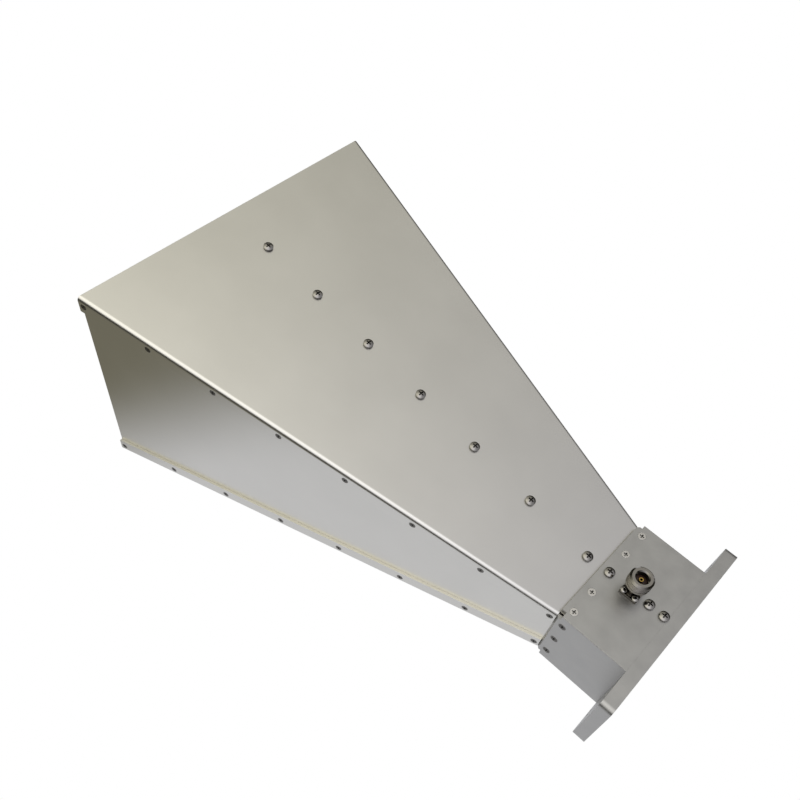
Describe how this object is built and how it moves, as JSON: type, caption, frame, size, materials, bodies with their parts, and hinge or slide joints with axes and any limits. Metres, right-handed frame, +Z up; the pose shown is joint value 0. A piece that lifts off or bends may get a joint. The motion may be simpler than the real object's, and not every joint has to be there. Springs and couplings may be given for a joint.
{
  "type": "double-ridged horn antenna",
  "caption": "Pyramidal horn antenna of folded sheet with an inner pair of tapered ridges, a milled feed box, a flange with mounting ears and a coaxial jack on top.",
  "frame": {"origin": "centre of the mounting flange's rear face", "axes": "+X along the boresight from the flange to the mouth, +Z up towards the coaxial connector, +Y to the left seen from behind"},
  "size_m": [0.41, 0.2562, 0.173],
  "materials": {
    "flange_alloy": "fine-milled, satin",
    "box_alloy": "milled and lightly blasted, satin",
    "panel_sheet": "clear chromate on rolled sheet, satin",
    "side_sheet": "clear chromate on rolled sheet, satin",
    "ridge_alloy": "milled, satin",
    "nickel_plate": "bright nickel plate",
    "contact_gold": "gold flash on turned copper alloy",
    "ptfe": "turned, matt",
    "screw_steel": "plain stainless steel"
  },
  "bodies": {
    "root": {"mounting_flange": "flange_alloy", "feed_box": "box_alloy", "top_panel": "panel_sheet", "bottom_panel": "panel_sheet", "left_side_panel": "side_sheet", "right_side_panel": "side_sheet", "upper_ridge": "ridge_alloy", "lower_ridge": "ridge_alloy", "connector_body": "nickel_plate", "connector_insulator": "ptfe", "connector_contact": "contact_gold", "connector_screws": "screw_steel", "top_ridge_screws": "screw_steel", "bottom_ridge_screws": "screw_steel", "box_top_ridge_screws": "screw_steel", "box_bottom_ridge_screws": "screw_steel", "left_upper_seam_screws": "screw_steel", "left_lower_seam_screws": "screw_steel", "right_upper_seam_screws": "screw_steel", "right_lower_seam_screws": "screw_steel", "box_top_joint_screws": "screw_steel", "box_bottom_joint_screws": "screw_steel", "box_left_joint_screws": "screw_steel", "box_right_joint_screws": "screw_steel", "flange_screws": "screw_steel"}
  },
  "joints": []
}
